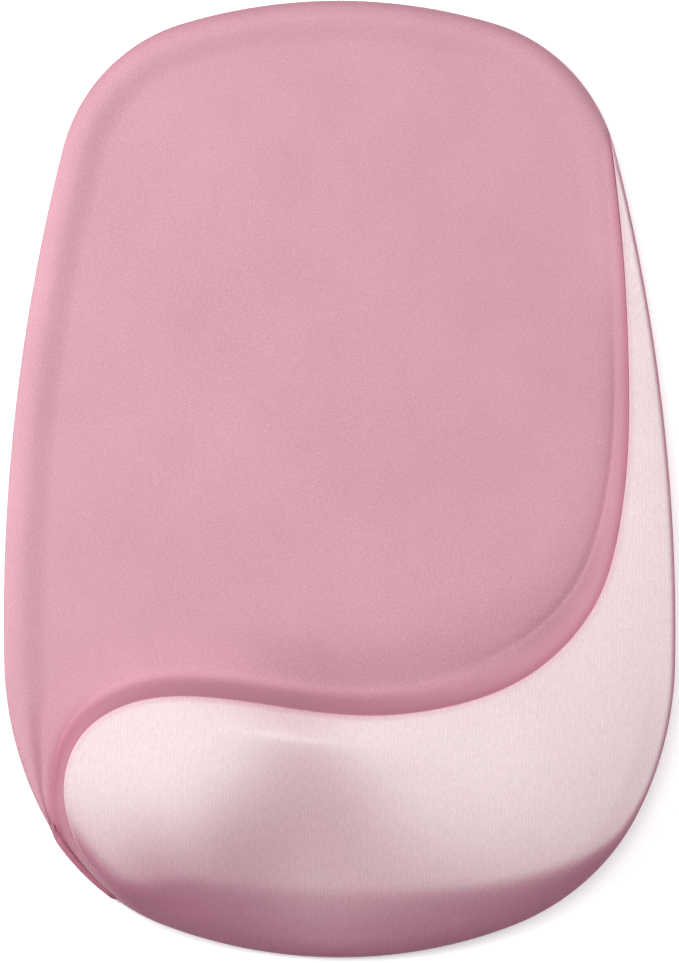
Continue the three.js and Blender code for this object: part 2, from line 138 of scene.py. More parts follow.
def splineThrough(knots, values, at):
    # a natural cubic spline: a cubic in each span, with the slopes and the bends equal where two spans meet
    knots, values = np.asarray(knots, float), np.asarray(values, float)
    span = np.diff(knots)
    rise = np.diff(values, axis=0) / span.reshape((-1,) + (1,) * (values.ndim - 1))
    system = np.eye(len(knots))
    pull = np.zeros_like(values)
    for k in range(1, len(knots) - 1):
        system[k, k - 1 : k + 2] = [span[k - 1], 2 * (span[k - 1] + span[k]), span[k]]
        pull[k] = 6 * (rise[k] - rise[k - 1])
    bend = np.linalg.solve(system, pull)
    k = np.clip(np.searchsorted(knots, at, side="right") - 1, 0, len(knots) - 2)
    shape = np.shape(at) + (1,) * (values.ndim - 1)
    h = span[k].reshape(shape)
    b = ((np.asarray(at) - knots[k]) / span[k]).reshape(shape)
    a = 1 - b
    return a * values[k] + b * values[k + 1] + ((a**3 - a) * bend[k] + (b**3 - b) * bend[k + 1]) * h * h / 6


def alongJoint(rows, column, v):
    # one column of a table, as a spline over its first column, the share of the joint
    table = np.array(rows, float)
    return splineThrough(table[:, 0], table[:, column], v)


def halfOutline():
    # tangent arcs from the middle of the far edge down the right side, closed by an arc centred on the axis
    x, y, heading = 0.0, 0.0, 0.0
    made = []
    turns = [(radius, np.radians(turn)) for radius, turn in padForm["arcs"]]
    for radius, turn in turns + [(None, None)]:
        if radius is None:
            radius, turn = x / np.sin(heading), np.pi - heading
        cx, cy = x - radius * np.sin(heading), y - radius * np.cos(heading)
        made.append((cx, cy, radius, heading, heading + turn))
        heading += turn
        x, y = cx + radius * np.sin(heading), cy + radius * np.cos(heading)
    made = np.array(made)
    made[:, :3] *= padForm["length"] / -y
    made[:, 1] += padForm["length"] / 2
    return made


outlineArcs = halfOutline()
arcLengths = outlineArcs[:, 2] * (outlineArcs[:, 4] - outlineArcs[:, 3])
arcEnds = np.cumsum(arcLengths)
halfLength = arcEnds[-1]


def outlineAt(share, inset=0.0):
    # the point a share of the way round, clockwise from the far edge, moved inwards along its arc's radius
    share, inset = np.broadcast_arrays(np.asarray(share, float), np.asarray(inset, float))
    turned = share % 1.0
    side = np.where(turned > 0.5, -1.0, 1.0)
    along = np.where(turned > 0.5, 1 - turned, turned) * 2 * halfLength
    k = np.clip(np.searchsorted(arcEnds, along), 0, len(arcEnds) - 1)
    cx, cy, radius, start, _ = outlineArcs[k].T if k.ndim == 1 else np.moveaxis(outlineArcs[k], -1, 0)
    heading = start + (along - (arcEnds[k] - arcLengths[k])) / radius
    reach = radius - inset
    return np.stack([side * (cx + reach * np.sin(heading)), cy + reach * np.cos(heading)], -1)


def insetOf(p):
    # how far a point lies inside the outline: the least of its distances to the arcs whose sector holds it
    least = np.full(p.shape[:-1], wellInside)
    for cx, cy, radius, start, end in outlineArcs:
        dx, dy = np.abs(p[..., 0]) - cx, p[..., 1] - cy
        heading = np.arctan2(dx, dy)
        inside = (heading >= start - arcSlack) & (heading <= end + arcSlack)
        least = np.where(inside, np.minimum(least, radius - np.hypot(dx, dy)), least)
    return least


def shareAtY(y):
    shares = np.linspace(0, 0.5, finely["outline"])
    heights = outlineAt(shares)[:, 1]
    return float(np.interp(-y, -heights, shares))


hornTip = shareAtY(padForm["hornTipY"])
bulbTip = 1 - shareAtY(padForm["bulbTipY"])


def jointTable():
    # a spline through the joint's points by chord length, then measured out evenly along its own length
    knots = np.vstack([outlineAt(hornTip), np.array(padForm["joint"], float), outlineAt(bulbTip)])
    chord = np.concatenate([[0], np.cumsum(np.hypot(*np.diff(knots, axis=0).T))])
    points = splineThrough(chord, knots, np.linspace(0, chord[-1], finely["spline"]))
    length = np.concatenate([[0], np.cumsum(np.hypot(*np.diff(points, axis=0).T))])
    even = np.linspace(0, length[-1], finely["joint"])
    points = np.stack([np.interp(even, length, points[:, 0]), np.interp(even, length, points[:, 1])], -1)
    heading = np.gradient(points, axis=0)
    return points, heading / np.linalg.norm(heading, axis=1, keepdims=True)


jointPoints, jointHeadings = jointTable()


def jointAt(v):
    t = np.asarray(v) * (len(jointPoints) - 1)
    steps = np.arange(len(jointPoints))
    point = np.stack([np.interp(t, steps, jointPoints[:, axis]) for axis in (0, 1)], -1)
    heading = np.stack([np.interp(t, steps, jointHeadings[:, axis]) for axis in (0, 1)], -1)
    return point, heading


def crossShare(v):
    return alongJoint(padForm["crossLines"], 1, v)


def evenStops(first, last, count):
    # places along the joint, spread so that the joint and the outline both get even steps
    fine = np.linspace(0, 1, finely["joint"])
    spread = fine + crossShare(fine)
    low, high = np.interp([first, last], fine, spread)
    return np.interp(np.linspace(low, high, count), spread, fine)


def crispEdge(p):
    # 1 along the right side, where the edge is tighter, and 0 elsewhere
    x, y = p[..., 0], p[..., 1]
    across = rising(x, *padForm["crispAcross"])
    return across * falling(y, *padForm["crispFar"]) * rising(y, *padForm["crispNear"])


def frontEdge(p):
    # 1 along the front, and 0 at the bulb's tip and further up
    return rising(p[..., 0], *padForm["frontAcross"]) * falling(p[..., 1], *padForm["frontAlong"])


def rollOff(p, inset):
    # a quarter of an ellipse, from level at its width inside the edge to upright at the edge
    crisp, front = crispEdge(p), frontEdge(p)
    reach = padForm["edgeReach"] + (padForm["frontReach"] - padForm["edgeReach"]) * front
    depth = padForm["edgeDepth"] + (padForm["frontDepth"] - padForm["edgeDepth"]) * front
    reach = reach + (padForm["crispReach"] - reach) * crisp
    depth = depth + (padForm["crispDepth"] - depth) * crisp
    left = np.clip(1 - inset / reach, 0, 1)
    return depth * (1 - np.sqrt(1 - left**2))


def trayHeight(inset):
    fall = rising(inset, padForm["rimCrest"], padForm["rimFoot"] - padForm["rimCrest"])
    return padForm["floor"] + padForm["rimRise"] * (1 - fall)


def cushionHeight(v, u, p):
    # a power curve across the cushion, u from 0 at the edge to 1 at the joint, plus bell-shaped lobes
    atJoint, atEdge, power = (alongJoint(cushionForm["heights"], column, v) for column in (1, 2, 3))
    crest = cushionForm["crestShare"]
    rise = (1 - np.abs(1 - u / crest) ** power) / (1 - (1 / crest - 1) ** power)
    height = atEdge + (atJoint - atEdge) * rise
    fade = rising(insetOf(p), 0, cushionForm["lobeFade"])
    for x, y, reachX, reachY, lobe in cushionForm["lobes"]:
        bell = np.exp(-(((p[..., 0] - x) / reachX) ** 2) - ((p[..., 1] - y) / reachY) ** 2)
        height = height + lobe * fade * bell
    return height


# how finely the covers are made
coverGrid = {
    "rows": 300,
    "trayRows": (0.0004, 0.9992),
    "cushionRows": (0.0005, 0.9995),
    "hem": 5,
    "corner": 5,
    "side": 4,
    "roll": 10,
    "rim": 18,
    "floor": 26,
    "flank": 28,
    "foot": 5,  # of the flank's columns, those on the floor before its foot
    "footReach": 1.5,  # where they start, in flank widths from the joint
    "flankSpacing": 1.3,  # power that draws the flank's columns together towards the joint
    "crown": 56,
    "crownWave": 0.12,  # and how far the crown's columns are drawn to both ends, and to the joint
    "crownPull": 0.35,
    "deepest": 0.4,  # the most that a layer may lie below its cover, as a share of the row's length
    "upright": 0.2,  # a step counts as upright where less than this share of it is level
    "thickness": 0.8,
    "jointGap": 0.09,
    "jointTuck": 0.22,  # how deep the two cut edges dip where they meet
    "tuckReach": 0.9,
}


def edgeColumns(side, topAtEdge):
    # the hem under the pad, its rounded corner and the upright side, as distance inside the edge and level
    grid = coverGrid
    corner, level = padForm["hemCorner"], padForm["hemLevel"]
    turn = np.linspace(0, np.pi / 2, grid["corner"])
    insets = np.concatenate([
        np.linspace(padForm["hemWidth"], corner, grid["hem"], endpoint=False),
        corner * (1 - np.sin(turn)),
        np.zeros(grid["side"]),
    ])
    levels = np.concatenate([
        np.full(grid["hem"], level),
        level + corner * (1 - np.cos(turn)),
        np.zeros(grid["side"]),
    ])
    z = np.broadcast_to(levels, (len(side), len(levels))).copy()
    climb = np.arange(1, grid["side"] + 1) / (grid["side"] + 1)
    z[:, -grid["side"] :] = level + corner + (topAtEdge[:, None] - level - corner) * climb
    return outlineAt(side[:, None], insets[None, :]), z


def edgeColumnCount():
    return coverGrid["hem"] + coverGrid["corner"] + coverGrid["side"]


def rollInsets():
    return padForm["edgeReach"] * (1 - np.cos(np.linspace(0, np.pi / 2, coverGrid["roll"])))


def tuckedEdge(away):
    # near the joint both cloths turn down into it, as cut edges that meet on a tape do
    return coverGrid["jointTuck"] * (1 - smoothStep(away / coverGrid["tuckReach"])) ** 2


def trayGrid(v):
    # rows from the hem over the rim, the floor and the flank up to the joint
    grid, form = coverGrid, trayForm
    point, heading = jointAt(v)
    toTray = np.stack([heading[:, 1], -heading[:, 0]], -1)
    side = hornTip - v * (1 - (bulbTip - hornTip))
    edge = outlineAt(side)
    reach = np.linalg.norm(edge - point, axis=1)
    sliver = rising(v, *form["sliver"])
    squeeze = np.minimum(1, (form["rimShare"] - form["rimShareLost"] * sliver) * reach / padForm["rimFoot"])
    profileSqueeze = np.where(v > form["narrowsFrom"], squeeze, 1)[:, None]
    slope = np.linspace(padForm["edgeReach"], padForm["rimFoot"], grid["rim"])[1:]
    insets = np.concatenate([rollInsets(), slope])
    rim = outlineAt(side[:, None], insets[None, :] * squeeze[:, None])
    widths, powers = (alongJoint(cushionForm["flank"], column, v) for column in (1, 2))
    widths = np.minimum(widths, (form["flankShare"] + form["flankShareGained"] * sliver) * reach)
    foot = np.linspace(grid["footReach"], 1, grid["foot"] + 1)[:-1]
    climbing = np.linspace(1, 0, grid["flank"] - grid["foot"]) ** grid["flankSpacing"]
    shares = np.concatenate([foot, climbing])
    away = np.maximum(widths[:, None] * shares[None, :], grid["jointGap"])
    flank = point[:, None, :] + toTray[:, None, :] * away[..., None]
    t = (np.arange(1, grid["floor"] + 1) / (grid["floor"] + 1))[None, :, None]
    floor = rim[:, -1:, :] * (1 - t) + flank[:, :1, :] * t
    top = np.concatenate([rim, floor, flank], axis=1)
    inset = insetOf(top)
    z = trayHeight(inset / profileSqueeze)
    atJoint = cushionHeight(v, np.ones(len(v)), point)[:, None]
    climb = np.zeros_like(z)
    climb[:, -len(shares) :] = np.clip(1 - away / widths[:, None], 0, 1) ** powers[:, None]
    z = z + (atJoint - z) * climb - rollOff(top, inset)
    fromFoot = (np.linalg.norm(top - point[:, None, :], axis=2) - widths[:, None]) / form["creaseWidth"]
    beside = 1 - rising(v, *form["creaseEnds"]) * falling(v, *form["creaseReturns"])
    lifted = rising(atJoint, padForm["floor"], form["creaseRise"])
    lifted = lifted * rising(reach, 0, form["creaseReach"])[:, None] * beside[:, None]
    z = z - form["creaseDepth"] * lifted * np.exp(-(fromFoot**2))
    low, lowZ = edgeColumns(side, z[:, 0])
    z[:, -len(shares) :] -= tuckedEdge(away)
    return np.concatenate([low, top], axis=1), np.concatenate([lowZ, z], axis=1)


def cushionGrid(v):
    # rows from the hem over the edge and the crown to the joint
    grid = coverGrid
    point, heading = jointAt(v)
    toTray = np.stack([heading[:, 1], -heading[:, 0]], -1)
    side = hornTip + crossShare(v) * (bulbTip - hornTip)
    edge = outlineAt(side)
    reach = np.linalg.norm(edge - point, axis=1)
    squeeze = np.minimum(1, cushionForm["rollShare"] * reach / padForm["edgeReach"])
    insets = rollInsets()[None, :] * squeeze[:, None]
    roll = outlineAt(side[:, None], insets)
    # beside the bulb's tip the rows run almost along the edge, so the roll's columns go along them too
    straight = edge[:, None, :] + (point - edge)[:, None, :] * (insets / reach[:, None])[..., None]
    roll = roll + (straight - roll) * rising(v, *cushionForm["straightRoll"])[:, None, None]
    end = point - toTray * grid["jointGap"]
    t = np.linspace(0, 1, grid["crown"] + 1)[1:]
    wave = grid["crownWave"] * np.sin(2 * np.pi * t) / (2 * np.pi)
    t = t + wave + grid["crownPull"] * (1 - (1 - t) ** 3 - t)
    t = (t / t[-1])[None, :, None]
    crown = roll[:, -1:, :] * (1 - t) + end[:, None, :] * t
    top = np.concatenate([roll, crown], axis=1)
    fromEdge = np.linalg.norm(top - edge[:, None, :], axis=2)
    u = np.minimum(1, fromEdge / reach[:, None])
    z = cushionHeight(v[:, None], u, top) - rollOff(top, insetOf(top))
    z = z - tuckedEdge(np.linalg.norm(top - point[:, None, :], axis=2))
    low, lowZ = edgeColumns(side, z[:, 0])
    return np.concatenate([low, top], axis=1), np.concatenate([lowZ, z], axis=1)


def joined(p, z):
    return np.concatenate([p, z[..., None]], axis=2)


def gridNormals(grid):
    across = np.gradient(grid, axis=0)
    along = np.gradient(grid, axis=1)
    normal = np.cross(across, along)
    normal /= np.maximum(np.linalg.norm(normal, axis=2, keepdims=True), 1e-12)
    middle = normal[len(grid) // 2, grid.shape[1] // 2, 2]
    return normal * np.sign(middle)


def insideOf(grid, depth, first=0):
    # the grid moved along its own normals, and by less where a row is too short to hold that depth
    reach = np.linalg.norm(grid[:, first] - grid[:, -1], axis=1)[:, None]
    depth = np.minimum(depth, coverGrid["deepest"] * reach)[..., None]
    return grid - gridNormals(grid) * depth


def clothMap(grid):
    # the cloth laid flat: from the joint outwards, each step keeps its length and its compass direction
    step = np.diff(grid[:, ::-1], axis=1)
    length = np.linalg.norm(step, axis=2)
    flat = step[..., :2]
    size = np.linalg.norm(flat, axis=2)
    rowWay = grid[:, 0, :2] - grid[:, -1, :2]
    rowWay = rowWay / np.maximum(np.linalg.norm(rowWay, axis=1, keepdims=True), 1e-9)
    level = (size / np.maximum(length, 1e-9))[..., None]
    way = flat / np.maximum(size[..., None], 1e-9)
    outwards = np.sum(way * rowWay[:, None, :], axis=2, keepdims=True) > 0
    way = np.where((level > coverGrid["upright"]) & outwards, way, rowWay[:, None, :])
    travelled = np.cumsum(way * length[..., None], axis=1)
    flatGrid = np.concatenate([np.zeros((len(grid), 1, 2)), travelled], axis=1)
    return (flatGrid + grid[:, -1:, :2])[:, ::-1]


def gridFaces(rows, columns, start=0):
    k = start + np.arange(rows * columns).reshape(rows, columns)
    return np.stack([k[:-1, :-1], k[1:, :-1], k[1:, 1:], k[:-1, 1:]], -1).reshape(-1, 4)


def signedVolume(points, quads):
    a, b, c, d = (points[quads[:, n]] for n in range(4))
    return float(np.sum(a * np.cross(b, c)) + np.sum(a * np.cross(c, d)))


def meshPiece(name, points, quads, layers):
    # points in millimetres; faces turned outwards if the signed volume says that they point in
    points = np.asarray(points, float)
    quads = np.asarray(quads)
    if signedVolume(points - points.mean(axis=0), quads) < 0:
        quads = quads[:, ::-1]
    mesh = bpy.data.meshes.new(name)
    loops = quads.reshape(-1)
    mesh.vertices.add(len(points))
    mesh.vertices.foreach_set("co", (points * mm).astype(np.float32).reshape(-1))
    mesh.loops.add(len(loops))
    mesh.loops.foreach_set("vertex_index", loops.astype(np.int32))
    mesh.polygons.add(len(quads))
    mesh.polygons.foreach_set("loop_start", np.arange(0, len(loops), 4, dtype=np.int32))
    mesh.polygons.foreach_set("use_smooth", np.ones(len(quads), bool))
    if "cloth" in layers:
        uv = mesh.uv_layers.new(name="cloth")
        uv.data.foreach_set("uv", (layers["cloth"][loops] * mm).astype(np.float32).reshape(-1))
    mesh.update(calc_edges=True)
    mesh.validate()
    for key, values in layers.items():
        if key != "cloth":
            layer = mesh.attributes.new(key, "FLOAT", "POINT")
            layer.data.foreach_set("value", values.astype(np.float32))
    piece = bpy.data.objects.new(name, mesh)
    bpy.context.scene.collection.objects.link(piece)
    return piece


def shellPiece(name, outer, inner, cloth=None, extra=None):
    # a closed sheet: the outer grid, the inner grid and a strip round all four borders
    rows, columns = outer.shape[:2]
    points = np.concatenate([outer.reshape(-1, 3), inner.reshape(-1, 3)])
    over = gridFaces(rows, columns)
    under = gridFaces(rows, columns, rows * columns)[:, ::-1]
    k = np.arange(rows * columns).reshape(rows, columns)
    border = np.concatenate([k[:, 0], k[-1, 1:], k[-2::-1, -1], k[0, -2:0:-1]])
    onward = np.roll(border, -1)
    rim = np.stack([border, border + rows * columns, onward + rows * columns, onward], -1)
    quads = np.concatenate([over, under, rim])
    layers = {}
    if cloth is not None:
        layers["cloth"] = np.concatenate([cloth.reshape(-1, 2)] * 2)
    for key, values in (extra or {}).items():
        layers[key] = np.concatenate([values.reshape(-1)] * 2)
    return meshPiece(name, points, quads, layers)


trayV = evenStops(*coverGrid["trayRows"], coverGrid["rows"])
cushionV = evenStops(*coverGrid["cushionRows"], coverGrid["rows"])
trayOuter = joined(*trayGrid(trayV))
cushionOuter = joined(*cushionGrid(cushionV))
print("covers worked out:", trayOuter.shape, cushionOuter.shape)

# what the cloth's colour follows: painted shade on slopes, at the flank's foot and beside the bulb, and the
# seam at the joint; ramps are along the joint
shadeAndSeamForm = {
    "leftShare": 0.15,  # a lean to the left, towards the left lamp, counts only this much towards the painted shade
    "crispShare": 0.5,  # and along the tighter right side the painted shade is this much weaker
    "seamReach": 1.3,
    "footShadeStarts": (0.3, 0.16),
    "footShadeEnds": (0.76, 0.1),
    "footShadeFloor": 12,
    "footShadeFlank": 4,
    "shadeBesideBulb": (0.8, 0.08),
    "shadeBesideBulbReach": 1.6,  # in flank widths
}


def shadeLeanOf(grid):
    # how far the cloth leans from level, in radians, leans to the left counted less: the driver of the
    # painted shade on slopes
    normal = gridNormals(grid)
    x = np.where(normal[..., 0] < 0, normal[..., 0] * shadeAndSeamForm["leftShare"], normal[..., 0])
    slopeShade = np.arctan2(np.hypot(x, normal[..., 1]), normal[..., 2])
    return slopeShade * (1 - shadeAndSeamForm["crispShare"] * crispEdge(grid))


def awayFromJoint(grid):
    return np.linalg.norm(grid[..., :2] - grid[:, -1:, :2], axis=2)


def seamOf(grid):
    # 1 at the joint, fading over a millimetre or two
    return np.exp(-((awayFromJoint(grid) / shadeAndSeamForm["seamReach"]) ** 2))


def footShadeOf(grid, v):
    # painted shade: 1 at the foot of the flank along the wrist, fading onto the floor and, faster, up the
    # flank
    foot = alongJoint(cushionForm["flank"], 1, v)[:, None]
    there = (rising(v, *shadeAndSeamForm["footShadeStarts"]) * falling(v, *shadeAndSeamForm["footShadeEnds"]))[:, None]
    away = awayFromJoint(grid) - foot
    return there * np.exp(-((away / np.where(away > 0, shadeAndSeamForm["footShadeFloor"], shadeAndSeamForm["footShadeFlank"])) ** 2))


def shadeBesideBulbOf(grid, v):
    # painted shade: 1 on the flank in the narrow strip beside the bulb
    foot = alongJoint(cushionForm["flank"], 1, v)[:, None]
    there = rising(v, *shadeAndSeamForm["shadeBesideBulb"])[:, None]
    return there * falling(awayFromJoint(grid) / foot, shadeAndSeamForm["shadeBesideBulbReach"], 1)


def coverPiece(name, grid, footShade, seamAndShade):
    inner = insideOf(grid, coverGrid["thickness"], edgeColumnCount())
    extra = {"slopeShade": shadeLeanOf(grid), "seamAndShade": seamAndShade, "footShade": footShade}
    return shellPiece(name, grid, inner, clothMap(grid), extra)


# the mouse cover's seam mask also carries the painted shade beside the bulb
mouseSeamAndShade = np.maximum(seamOf(trayOuter), shadeBesideBulbOf(trayOuter, trayV))
mouseCover = coverPiece("mouseAreaCover", trayOuter, footShadeOf(trayOuter, trayV), mouseSeamAndShade)
noFootShade = np.zeros(cushionOuter.shape[:2])
wristCover = coverPiece("wristRestCover", cushionOuter, noFootShade, seamOf(cushionOuter))

# the soft pieces below the covers
foamForm = {
    "clearance": 1.15,  # cover thickness and a little air
    "underTape": 1.75,
    "level": 2.5,
    "thinnest": 0.3,
    "rows": 130,
    "trayRows": (0.03, 0.87),
    "wristRows": (0.12, 0.955),
    "jointColumns": 6,  # columns left out on each side of the joint, and at the flank's foot
    "footColumns": 2,
}


def blockUnder(name, top, level):
    # a closed block: the grid on top, upright sides and a flat underside made of the same grid
    top[..., 2] = np.maximum(top[..., 2], level + foamForm["thinnest"])
    under = top.copy()
    under[..., 2] = level
    return shellPiece(name, top, under)


def trayFoamTop():
    outer = joined(*trayGrid(evenStops(*foamForm["trayRows"], foamForm["rows"])))
    inner = insideOf(outer, foamForm["clearance"], edgeColumnCount())
    return inner[:, edgeColumnCount() - 1 : -coverGrid["flank"]]


def wristFoamTop():
    v = evenStops(*foamForm["wristRows"], foamForm["rows"])
    crown = joined(*cushionGrid(v))
    flank = joined(*trayGrid(v))
    last = -foamForm["jointColumns"]
    foot = foamForm["footColumns"] - coverGrid["flank"]
    crown = insideOf(crown, foamForm["clearance"], edgeColumnCount())[:, edgeColumnCount() - 1 : last]
    flank = insideOf(flank, foamForm["underTape"], edgeColumnCount())[:, foot:last]
    return np.concatenate([crown, flank[:, ::-1]], axis=1)


trayFoam = blockUnder("trayFoam", trayFoamTop(), foamForm["level"])
wristFoam = blockUnder("wristFoamCore", wristFoamTop(), foamForm["level"])

tapeForm = {
    "rows": (0.16, 0.925),
    "count": 160,
    "thickness": 0.25,
    "depth": 0.95,
    "crownColumns": slice(-14, -3, 2),
    "flankColumns": slice(-5, -2),
}


def tapeGrid():
    # a strip under the joint, from the crown over the corner to the top of the flank
    v = evenStops(*tapeForm["rows"], tapeForm["count"])
    crown = joined(*cushionGrid(v))
    flank = joined(*trayGrid(v))
    crown = insideOf(crown, tapeForm["depth"], edgeColumnCount())[:, tapeForm["crownColumns"]]
    flank = insideOf(flank, tapeForm["depth"], edgeColumnCount())[:, tapeForm["flankColumns"]]
    return np.concatenate([crown, flank[:, ::-1]], axis=1)


tapeTop = tapeGrid()
jointTape = shellPiece("coverJointTape", tapeTop, insideOf(tapeTop, tapeForm["thickness"]))

baseForm = {"inset": 1.0, "thickness": 1.2, "edge": 0.35, "turn": 6, "rows": 220, "across": 90, "ends": 0.003}


def basePlateTop():
    # rows straight across the pad, from the middle of its thickness up round the edge and over the top
    turn = np.linspace(0, np.pi / 2, baseForm["turn"])
    r, thickness = baseForm["edge"], baseForm["thickness"]
    share = np.linspace(baseForm["ends"], 0.5 - baseForm["ends"], baseForm["rows"])
    right = outlineAt(share[:, None], baseForm["inset"] + r * (1 - np.cos(turn))[None, :])
    left = right[:, ::-1] * np.array([-1.0, 1.0])
    t = np.linspace(0, 1, baseForm["across"])[1:-1][None, :, None]
    middle = right[:, -1:] * (1 - t) + left[:, :1] * t
    rise = thickness - r + r * np.sin(turn)
    z = np.concatenate([rise, np.full(middle.shape[1], thickness), rise[::-1]])
    flat = np.concatenate([right, middle, left], axis=1)
    return joined(flat, np.broadcast_to(z, flat.shape[:2]))


baseTop = basePlateTop()
baseUnder = baseTop * np.array([1, 1, -1]) + np.array([0, 0, baseForm["thickness"]])
baseSheet = shellPiece("baseSheet", baseTop, baseUnder)
print("hidden layers made")

# ---- materials
# lengths in millimetres, colours linear
# up: the cloth where level; lean: painted shade on slopes that turn from the lamps, over slopeShadeWidth
# radians; seam: the colour at the joint, also the painted shade beside the bulb
clothPlan = {
    "rose": {
        "up": (0.552, 0.292, 0.345), "slopeShade": (0.455, 0.205, 0.262), "slopeShadeWidth": 0.75, "mottle": 0.035,
        "wale": 0.55, "course": 0.6, "wobble": 0.42, "rib": 0.1, "grain": 0.11, "bump": 0.25, "sheen": 0.14,
        "seamAndShade": (0.42, 0.14, 0.205),
    },
    "pale": {
        "up": (0.745, 0.612, 0.63), "slopeShade": (0.415, 0.165, 0.23), "slopeShadeWidth": 0.31, "mottle": 0.02,
        "wale": 0.9, "course": 2.6, "wobble": 0.16, "rib": 0.1, "grain": 0.05, "bump": 0.35, "sheen": 0.1,
        "seamAndShade": (0.66, 0.42, 0.49),
    },
}
# hollow: how much the painted shade at the flank's foot darkens the cloth; seam: how far the colour goes to
# the seam colour
clothLook = {
    "mottleSize": 38.0, "fibreLength": 1.6, "seamAndShade": 0.75, "loopMiddle": 0.55, "gain": 4, "fuzz": 0.03,
    "footShade": 0.19, "roughness": 0.92, "loopShine": 0.14, "grainRelief": 0.8, "relief": 0.1, "specular": 0.25,
    "sheenRoughness": 0.35, "sheenTint": (1.0, 0.93, 0.94, 1),
}
knitPlan = {
    "push": 6.0, "dashScale": 1.3, "dashLow": 0.3, "dashGain": 2.6, "grainScale": 1.1, "grainDetail": 3.0,
    "grainBend": 0.6,
}
fuzzPlan = {"scale": 3.0, "detail": 2.0, "bend": 2.5, "from": 0.62}
noiseMiddle = 0.5
# deep: the foams' colour darkened as painted shade in the middles of their cells
foamPlan = {
    "tray": {"color": (0.80, 0.765, 0.64), "poreShade": (0.52, 0.47, 0.35), "cell": 0.55, "roughness": 0.9},
    "slow": {"color": (0.88, 0.83, 0.70), "poreShade": (0.66, 0.58, 0.43), "cell": 0.3, "roughness": 0.85},
}
foamLook = {"mottleSize": 22.0, "mottle": 0.2, "deepShare": 0.4, "relief": 0.3, "bump": 0.8}
tapePlan = {
    "color": (0.87, 0.86, 0.83), "thread": (0.70, 0.68, 0.64), "pitch": 0.7, "wobble": 0.08, "fibre": 1.0,
    "fuzz": 0.06, "relief": 0.12, "bump": 0.7,
}
filmPlan = {
    "color": (0.87, 0.83, 0.66), "streak": (0.72, 0.66, 0.46), "haze": 9.0, "contrast": 2.0,
    "smoothest": 0.18, "hazeRoughness": 0.3, "relief": 0.2, "bump": 0.4,
}
boardPlan = {
    "color": (0.73, 0.73, 0.71), "scuff": (0.60, 0.59, 0.57), "haze": 14.0, "mottleSize": 50.0, "mottle": 0.1,
    "streaks": 0.5, "smoothest": 0.4, "hazeRoughness": 0.25, "relief": 0.05, "bump": 0.4,
}
basePlan = {
    "color": (0.62, 0.31, 0.38), "worn": (0.70, 0.43, 0.49), "dust": (0.62, 0.58, 0.57), "pitch": 3.2,
    "across": 0.5, "along": 0.866,  # cosine and sine of the waves' 60 degrees
    "mottleSize": 30.0, "mottle": 0.2, "dustSize": 12.0, "dusting": 0.3, "wear": 0.6, "roughness": 0.85,
    "polish": 0.2, "relief": 0.35, "bump": 0.8,
}
floorPlan = {"color": (0.90, 0.90, 0.90), "shade": (0.86, 0.86, 0.865), "mottleSize": 260.0, "glow": 0.35}


def addNode(tree, kind, **settings):
    node = tree.nodes.new(kind)
    for key, value in settings.items():
        setattr(node, key, value)
    return node


def setSocket(tree, socket, value):
    # a link if the value is another node's output, otherwise the socket's own value
    if isinstance(value, bpy.types.NodeSocket):
        tree.links.new(value, socket)
    elif isinstance(value, tuple) and len(value) == 3 and socket.type == "RGBA":
        socket.default_value = (*value, 1)
    else:
        socket.default_value = value


def maths(tree, operation, a, b=0.0):
    node = addNode(tree, "ShaderNodeMath", operation=operation)
    setSocket(tree, node.inputs[0], a)
    setSocket(tree, node.inputs[1], b)
    return node.outputs[0]


def blend(tree, factor, a, b):
    node = addNode(tree, "ShaderNodeMix", data_type="RGBA")
    setSocket(tree, node.inputs["Factor"], factor)
    setSocket(tree, node.inputs["A"], a)
    setSocket(tree, node.inputs["B"], b)
    return node.outputs["Result"]


def noise(tree, place, scale, detail=2.0, distortion=0.0):
    node = addNode(tree, "ShaderNodeTexNoise")
    setSocket(tree, node.inputs["Vector"], place)
    setSocket(tree, node.inputs["Scale"], scale)
    node.inputs["Detail"].default_value = detail
    node.inputs["Distortion"].default_value = distortion
    return node.outputs["Fac"]


def newGroup(name, inputs, outputs):
    # inputs: name, socket kind, first value; outputs: names of plain values
    tree = bpy.data.node_groups.new(name, "ShaderNodeTree")
    for label, kind, value in inputs:
        socket = tree.interface.new_socket(name=label, in_out="INPUT", socket_type="NodeSocket" + kind)
        if value is not None:
            socket.default_value = value
    for label in outputs:
        tree.interface.new_socket(name=label, in_out="OUTPUT", socket_type="NodeSocketFloat")
    return tree, tree.nodes.new("NodeGroupInput").outputs, tree.nodes.new("NodeGroupOutput").inputs


def useGroup(tree, group, **values):
    node = addNode(tree, "ShaderNodeGroup", node_tree=group)
    for key, value in values.items():
        setSocket(tree, node.inputs[key], value)
    return node.outputs


